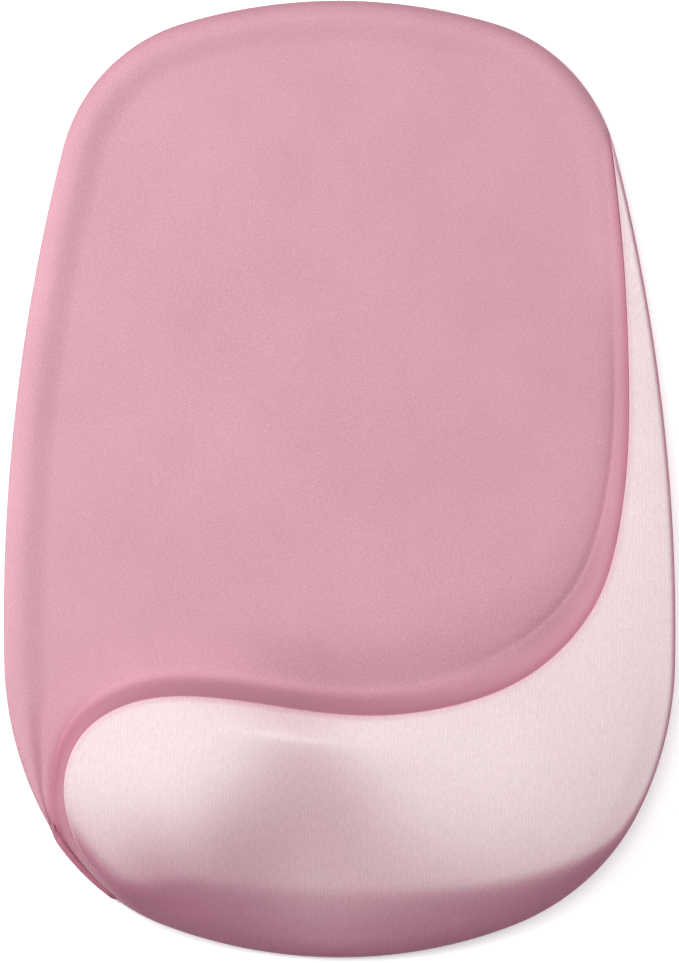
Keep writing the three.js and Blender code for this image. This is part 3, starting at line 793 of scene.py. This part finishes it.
def knitGroup():
    # Loop: ribs |sin(pi x / wale)| with x pushed sideways by wobble x noise, broken up along y where a
    # second noise of the course length falls low. Grain: noise a little smaller than a wale, bent.
    tree, given, made = newGroup(
        "knitRelief",
        [
            ("Place", "Vector", None),
            ("Wale", "Float", 0.8),
            ("Course", "Float", 1.0),
            ("Wobble", "Float", 0.2),
        ],
        ["Loop", "Grain"],
    )
    apart = addNode(tree, "ShaderNodeSeparateXYZ")
    setSocket(tree, apart.inputs[0], given["Place"])
    perWale = maths(tree, "DIVIDE", 1.0, given["Wale"])
    perCourse = maths(tree, "DIVIDE", 1.0, given["Course"])
    push = maths(tree, "SUBTRACT", noise(tree, given["Place"], perCourse, 1.0), noiseMiddle)
    push = maths(tree, "MULTIPLY", push, maths(tree, "MULTIPLY", given["Wobble"], knitPlan["push"]))
    turns = maths(tree, "ADD", maths(tree, "MULTIPLY", apart.outputs["X"], perWale), push)
    rib = maths(tree, "ABSOLUTE", maths(tree, "SINE", maths(tree, "MULTIPLY", turns, float(np.pi))))
    stretch = addNode(tree, "ShaderNodeCombineXYZ")
    setSocket(tree, stretch.inputs["X"], maths(tree, "MULTIPLY", apart.outputs["X"], perWale))
    setSocket(tree, stretch.inputs["Y"], maths(tree, "MULTIPLY", apart.outputs["Y"], perCourse))
    dash = noise(tree, stretch.outputs[0], knitPlan["dashScale"], 1.0)
    dash = maths(tree, "MULTIPLY", maths(tree, "SUBTRACT", dash, knitPlan["dashLow"]), knitPlan["dashGain"])
    dash = maths(tree, "SMOOTH_MIN", dash, 1.0)
    setSocket(tree, made["Loop"], maths(tree, "MULTIPLY", rib, dash))
    grainScale = maths(tree, "MULTIPLY", perWale, knitPlan["grainScale"])
    grain = noise(tree, given["Place"], grainScale, knitPlan["grainDetail"], knitPlan["grainBend"])
    setSocket(tree, made["Grain"], grain)
    return tree


def mottleGroup():
    # Value: noise of the given size plus half as much noise of a third of the size, about 0
    inputs = [("Place", "Vector", None), ("Size", "Float", 30.0)]
    tree, given, made = newGroup("softMottle", inputs, ["Value"])
    scale = maths(tree, "DIVIDE", 1.0, given["Size"])
    large = maths(tree, "SUBTRACT", noise(tree, given["Place"], scale, 1.0), noiseMiddle)
    small = noise(tree, given["Place"], maths(tree, "MULTIPLY", scale, 3.0), 2.0)
    small = maths(tree, "SUBTRACT", small, noiseMiddle)
    setSocket(tree, made["Value"], maths(tree, "ADD", large, maths(tree, "MULTIPLY", small, 0.5)))
    return tree


def fuzzGroup():
    # Fibre: 1 on short fine hairs, where strongly bent noise passes a threshold, and 0 elsewhere
    tree, given, made = newGroup("fineFuzz", [("Place", "Vector", None), ("Length", "Float", 1.2)], ["Fibre"])
    scale = maths(tree, "DIVIDE", fuzzPlan["scale"], given["Length"])
    hairs = noise(tree, given["Place"], scale, fuzzPlan["detail"], fuzzPlan["bend"])
    setSocket(tree, made["Fibre"], maths(tree, "GREATER_THAN", hairs, fuzzPlan["from"]))
    return tree


def cellGroup():
    # Wall: 1 on the walls between foam cells and 0 in their middles, from the distance to the cell's edge
    tree, given, made = newGroup("foamCells", [("Place", "Vector", None), ("Cell", "Float", 0.5)], ["Wall"])
    cells = addNode(tree, "ShaderNodeTexVoronoi", feature="DISTANCE_TO_EDGE")
    setSocket(tree, cells.inputs["Vector"], given["Place"])
    setSocket(tree, cells.inputs["Scale"], maths(tree, "DIVIDE", 1.0, given["Cell"]))
    near = maths(tree, "MULTIPLY", cells.outputs["Distance"], 4.0)
    setSocket(tree, made["Wall"], maths(tree, "SUBTRACT", 1.0, maths(tree, "MINIMUM", near, 1.0)))
    return tree


def hazeGroup():
    # Haze: noise of the given size. Streak: the same drawn out eight times along the length of the pad.
    inputs = [("Place", "Vector", None), ("Size", "Float", 9.0)]
    tree, given, made = newGroup("handlingHaze", inputs, ["Haze", "Streak"])
    scale = maths(tree, "DIVIDE", 1.0, given["Size"])
    squash = addNode(tree, "ShaderNodeVectorMath", operation="MULTIPLY")
    setSocket(tree, squash.inputs[0], given["Place"])
    squash.inputs[1].default_value = (4.0, 0.5, 1.0)
    setSocket(tree, made["Haze"], noise(tree, given["Place"], scale, 4.0))
    setSocket(tree, made["Streak"], noise(tree, squash.outputs[0], scale, 3.0))
    return tree


knitRelief, softMottle, fineFuzz = knitGroup(), mottleGroup(), fuzzGroup()
foamCells, handlingHaze = cellGroup(), hazeGroup()


def newMaterial(name, roughness):
    material = bpy.data.materials.new(name)
    material.use_nodes = True
    shader = material.node_tree.nodes["Principled BSDF"]
    shader.inputs["Roughness"].default_value = roughness
    return material, material.node_tree, shader


def dress(piece, material):
    piece.data.materials.clear()
    piece.data.materials.append(material)


def inMillimetres(tree, place):
    grown = addNode(tree, "ShaderNodeVectorMath", operation="SCALE")
    setSocket(tree, grown.inputs[0], place)
    grown.inputs["Scale"].default_value = 1 / mm
    return grown.outputs[0]


def clothPlace(tree):
    return inMillimetres(tree, addNode(tree, "ShaderNodeUVMap", uv_map="cloth").outputs[0])


def objectPlace(tree):
    return inMillimetres(tree, addNode(tree, "ShaderNodeTexCoord").outputs["Object"])


def bumpFrom(tree, shader, height, distance, strength=1.0):
    bump = addNode(tree, "ShaderNodeBump")
    bump.inputs["Distance"].default_value = distance * mm
    bump.inputs["Strength"].default_value = strength
    setSocket(tree, bump.inputs["Height"], height)
    setSocket(tree, shader.inputs["Normal"], bump.outputs[0])


def brightened(tree, color, amount):
    # the colour times 1 + amount
    node = addNode(tree, "ShaderNodeVectorMath", operation="SCALE")
    setSocket(tree, node.inputs[0], color)
    setSocket(tree, node.inputs["Scale"], maths(tree, "ADD", amount, 1.0))
    return node.outputs[0]


def attributeOf(tree, name):
    return addNode(tree, "ShaderNodeAttribute", attribute_name=name).outputs["Fac"]


def clothMaterial(name, plan):
    # colour = lean colour to level colour by exp(-(lean / width)^2), which paints shade on slopes that turn
    # from the lamps, then three quarters of the way to the seam colour at the joint and on the painted shade
    # beside the bulb, times 1 + rib x loop + grain + mottle + fuzz - painted shade at the flank's foot; rib x
    # loop is the knit's pattern with painted shade between the loops
    look = clothLook
    material, tree, shader = newMaterial(name, look["roughness"])
    place = clothPlace(tree)
    pattern = {"Wale": plan["wale"], "Course": plan["course"], "Wobble": plan["wobble"]}
    knit = useGroup(tree, knitRelief, Place=place, **pattern)
    uneven = useGroup(tree, softMottle, Place=place, Size=look["mottleSize"])["Value"]
    fibre = useGroup(tree, fineFuzz, Place=place, Length=plan["wale"] * look["fibreLength"])["Fibre"]
    # the lean colour is painted shade, deeper and rosier on slopes that turn from the lamps
    ratio = maths(tree, "DIVIDE", attributeOf(tree, "slopeShade"), plan["slopeShadeWidth"])
    level = maths(tree, "EXPONENT", maths(tree, "MULTIPLY", maths(tree, "MULTIPLY", ratio, ratio), -1.0))
    color = blend(tree, level, plan["slopeShade"], plan["up"])
    # the seam colour at the joint, and painted shade on the flank beside the bulb
    color = blend(tree, maths(tree, "MULTIPLY", attributeOf(tree, "seamAndShade"), look["seamAndShade"]), color, plan["seamAndShade"])
    # rib x loop: the knit's loops lighter on top and darker between them, a pattern with painted shade
    # between the loops
    loop = maths(tree, "MULTIPLY", maths(tree, "SUBTRACT", knit["Loop"], look["loopMiddle"]), plan["rib"])
    grain = maths(tree, "SUBTRACT", knit["Grain"], noiseMiddle)
    amount = maths(tree, "ADD", loop, maths(tree, "MULTIPLY", grain, plan["grain"] * look["gain"]))
    amount = maths(tree, "ADD", amount, maths(tree, "MULTIPLY", uneven, plan["mottle"] * look["gain"]))
    amount = maths(tree, "ADD", amount, maths(tree, "MULTIPLY", fibre, look["fuzz"]))
    # painted shade at the foot of the flank along the wrist
    footShade = maths(tree, "MULTIPLY", attributeOf(tree, "footShade"), look["footShade"])
    amount = maths(tree, "SUBTRACT", amount, footShade)
    setSocket(tree, shader.inputs["Base Color"], brightened(tree, color, amount))
    shine = maths(tree, "MULTIPLY", knit["Loop"], look["loopShine"])
    setSocket(tree, shader.inputs["Roughness"], maths(tree, "SUBTRACT", look["roughness"], shine))
    relief = maths(tree, "ADD", knit["Loop"], maths(tree, "MULTIPLY", knit["Grain"], look["grainRelief"]))
    bumpFrom(tree, shader, relief, look["relief"], plan["bump"])
    shader.inputs["Specular IOR Level"].default_value = look["specular"]
    shader.inputs["Sheen Weight"].default_value = plan["sheen"]
    shader.inputs["Sheen Roughness"].default_value = look["sheenRoughness"]
    shader.inputs["Sheen Tint"].default_value = look["sheenTint"]
    return material


def foamMaterial(name, plan):
    # colour = deep colour, painted shade in the cells' pores, to the foam's colour on their walls, times 1 +
    # mottle; height = wall
    material, tree, shader = newMaterial(name, plan["roughness"])
    place = objectPlace(tree)
    wall = useGroup(tree, foamCells, Place=place, Cell=plan["cell"])["Wall"]
    uneven = useGroup(tree, softMottle, Place=place, Size=foamLook["mottleSize"])["Value"]
    share = maths(tree, "MULTIPLY", wall, 1 - foamLook["deepShare"])
    color = blend(tree, maths(tree, "ADD", share, foamLook["deepShare"]), plan["poreShade"], plan["color"])
    color = brightened(tree, color, maths(tree, "MULTIPLY", uneven, foamLook["mottle"]))
    setSocket(tree, shader.inputs["Base Color"], color)
    bumpFrom(tree, shader, wall, plan["cell"] * foamLook["relief"], foamLook["bump"])
    return material


def tapeMaterial():
    # colour = thread shadow to white tape by the loops of its own fine knit, times 1 + fuzz
    material, tree, shader = newMaterial("fusibleTape", 0.7)
    place = objectPlace(tree)
    pattern = {"Wale": tapePlan["pitch"], "Course": tapePlan["pitch"], "Wobble": tapePlan["wobble"]}
    knit = useGroup(tree, knitRelief, Place=place, **pattern)
    fibre = useGroup(tree, fineFuzz, Place=place, Length=tapePlan["fibre"])["Fibre"]
    color = blend(tree, knit["Loop"], tapePlan["thread"], tapePlan["color"])
    color = brightened(tree, color, maths(tree, "MULTIPLY", fibre, tapePlan["fuzz"]))
    setSocket(tree, shader.inputs["Base Color"], color)
    bumpFrom(tree, shader, knit["Loop"], tapePlan["relief"], tapePlan["bump"])
    return material


def filmMaterial():
    # colour = glue to streak colour by the square of the streaks; roughness = the smoothest + a share of haze
    material, tree, shader = newMaterial("adhesiveFilm", 0.3)
    haze = useGroup(tree, handlingHaze, Place=objectPlace(tree), Size=filmPlan["haze"])
    streak = maths(tree, "POWER", haze["Streak"], filmPlan["contrast"])
    setSocket(tree, shader.inputs["Base Color"], blend(tree, streak, filmPlan["color"], filmPlan["streak"]))
    roughness = maths(tree, "MULTIPLY", haze["Haze"], filmPlan["hazeRoughness"])
    setSocket(tree, shader.inputs["Roughness"], maths(tree, "ADD", roughness, filmPlan["smoothest"]))
    bumpFrom(tree, shader, haze["Haze"], filmPlan["relief"], filmPlan["bump"])
    return material


def boardMaterial():
    # colour = board to scuff colour along fine rolling streaks, times 1 + mottle; roughness = the
    # smoothest + a share of haze
    material, tree, shader = newMaterial("boardPlastic", 0.5)
    place = objectPlace(tree)
    haze = useGroup(tree, handlingHaze, Place=place, Size=boardPlan["haze"])
    uneven = useGroup(tree, softMottle, Place=place, Size=boardPlan["mottleSize"])["Value"]
    streak = maths(tree, "MULTIPLY", haze["Streak"], boardPlan["streaks"])
    color = blend(tree, streak, boardPlan["color"], boardPlan["scuff"])
    color = brightened(tree, color, maths(tree, "MULTIPLY", uneven, boardPlan["mottle"]))
    setSocket(tree, shader.inputs["Base Color"], color)
    roughness = maths(tree, "MULTIPLY", haze["Haze"], boardPlan["hazeRoughness"])
    setSocket(tree, shader.inputs["Roughness"], maths(tree, "ADD", roughness, boardPlan["smoothest"]))
    bumpFrom(tree, shader, haze["Streak"], boardPlan["relief"], boardPlan["bump"])
    return material


def baseMaterial():
    # Grip: sin a x sin b for two families of waves at 60 degrees, as a relief of small lozenges. Colour =
    # rubber to worn colour on the lozenges' tops, then to dust in the hollows where the haze is high.
    material, tree, shader = newMaterial("baseRubber", 0.8)
    place = objectPlace(tree)
    apart = addNode(tree, "ShaderNodeSeparateXYZ")
    setSocket(tree, apart.inputs[0], place)
    turn = 2 * np.pi / basePlan["pitch"]
    across = maths(tree, "MULTIPLY", apart.outputs["X"], float(turn * basePlan["across"]))
    along = maths(tree, "MULTIPLY", apart.outputs["Y"], float(turn * basePlan["along"]))
    waveA = maths(tree, "SINE", maths(tree, "ADD", across, along))
    waveB = maths(tree, "SINE", maths(tree, "SUBTRACT", across, along))
    grip = maths(tree, "MULTIPLY", waveA, waveB)
    top = maths(tree, "SMOOTH_MAX", grip, 0.0)
    uneven = useGroup(tree, softMottle, Place=place, Size=basePlan["mottleSize"])["Value"]
    haze = useGroup(tree, handlingHaze, Place=place, Size=basePlan["dustSize"])["Haze"]
    color = blend(tree, maths(tree, "MULTIPLY", top, basePlan["wear"]), basePlan["color"], basePlan["worn"])
    dusty = maths(tree, "MULTIPLY", haze, basePlan["dusting"])
    dusty = maths(tree, "MULTIPLY", maths(tree, "SUBTRACT", 1.0, top), dusty)
    color = blend(tree, dusty, color, basePlan["dust"])
    color = brightened(tree, color, maths(tree, "MULTIPLY", uneven, basePlan["mottle"]))
    setSocket(tree, shader.inputs["Base Color"], color)
    polish = maths(tree, "MULTIPLY", top, basePlan["polish"])
    setSocket(tree, shader.inputs["Roughness"], maths(tree, "SUBTRACT", basePlan["roughness"], polish))
    bumpFrom(tree, shader, grip, basePlan["relief"], basePlan["bump"])
    return material


def floorMaterial():
    # near white, a shade darker here and there, with a little light of its own so that shadows stay pale
    material, tree, shader = newMaterial("floorPaint", 0.9)
    uneven = useGroup(tree, softMottle, Place=objectPlace(tree), Size=floorPlan["mottleSize"])["Value"]
    color = blend(tree, maths(tree, "ADD", uneven, noiseMiddle), floorPlan["color"], floorPlan["shade"])
    setSocket(tree, shader.inputs["Base Color"], color)
    setSocket(tree, shader.inputs["Emission Color"], color)
    shader.inputs["Emission Strength"].default_value = floorPlan["glow"]
    return material


dress(mouseCover, clothMaterial("roseKnit", clothPlan["rose"]))
dress(wristCover, clothMaterial("paleKnit", clothPlan["pale"]))
dress(trayFoam, foamMaterial("trayFoam", foamPlan["tray"]))
dress(wristFoam, foamMaterial("slowFoam", foamPlan["slow"]))
dress(jointTape, tapeMaterial())
dress(baseSheet, baseMaterial())
film, board = filmMaterial(), boardMaterial()
for node, material in (
    ("hem_adhesive_ring", film),
    ("board_adhesive_film", film),
    ("base_adhesive_film", film),
    ("stiffener_board", board),
):
    for slot in bpy.data.objects[node].material_slots:
        slot.material = material
print("materials made")

# ---- each piece goes under the root frame, and the part that it stands in for is hidden
for piece, node, slot in (
    (mouseCover, "mouse_area_cover", "rose_knit"),
    (wristCover, "wrist_rest_cover", "pale_knit"),
    (trayFoam, "tray_foam", "tray_foam"),
    (wristFoam, "wrist_foam_core", "slow_foam"),
    (jointTape, "cover_joint_tape", "fusible_tape"),
    (baseSheet, "base_sheet", "base_rubber"),
):
    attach(piece, "root")
    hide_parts(node)

# ---- studio
studio = {
    "floorSize": 8.0,
    "cameraHeight": 1.5,
    "sensorHeight": 24.0,
    "cameraAim": (0.3, -0.7),
    "frameHeight": 267.2,
    "lights": {
        "overhead": {"at": (-0.05, 0.15, 1.2), "size": (0.7, 0.7), "power": 9.3},
        "left": {"at": (-0.55, 0.17, 0.42), "size": (0.45, 0.6), "power": 4.8},
        "right": {"at": (0.9, 0.2, 0.6), "size": (0.6, 0.7), "power": 4.2},
    },
    "world": 0.04,
}


for name, plan in studio["lights"].items():
    light = bpy.data.lights.new(name, "AREA")
    light.shape = "RECTANGLE"
    light.size, light.size_y = plan["size"]
    light.energy = plan["power"]
    lamp = bpy.data.objects.new(name, light)
    bpy.context.scene.collection.objects.link(lamp)
    lamp.location = plan["at"]
    lamp.rotation_euler = (-Vector(plan["at"])).to_track_quat("-Z", "Y").to_euler()

size = studio["floorSize"]
floorMesh = bpy.data.meshes.new("floor")
corners = [(-size, -size, 0), (size, -size, 0), (size, size, 0), (-size, size, 0)]
floorMesh.from_pydata(corners, [], [(0, 1, 2, 3)])
floor = bpy.data.objects.new("floor", floorMesh)
bpy.context.scene.collection.objects.link(floor)
dress(floor, floorMaterial())

world = bpy.data.worlds.new("studio")
world.use_nodes = True
world.node_tree.nodes["Background"].inputs["Color"].default_value = (1, 1, 1, 1)
world.node_tree.nodes["Background"].inputs["Strength"].default_value = studio["world"]
bpy.context.scene.world = world

camera = bpy.data.cameras.new("camera")
camera.sensor_fit = "VERTICAL"
camera.sensor_height = studio["sensorHeight"]
camera.lens = camera.sensor_height * studio["cameraHeight"] / (studio["frameHeight"] * mm)
cameraObject = bpy.data.objects.new("camera", camera)
bpy.context.scene.collection.objects.link(cameraObject)
aimX, aimY = studio["cameraAim"]
cameraObject.location = (aimX * mm, aimY * mm, studio["cameraHeight"])
cameraObject.rotation_euler = (0, 0, 0)
bpy.context.scene.camera = cameraObject
bpy.context.scene.view_settings.view_transform = "Standard"

bpy.context.view_layer.update()
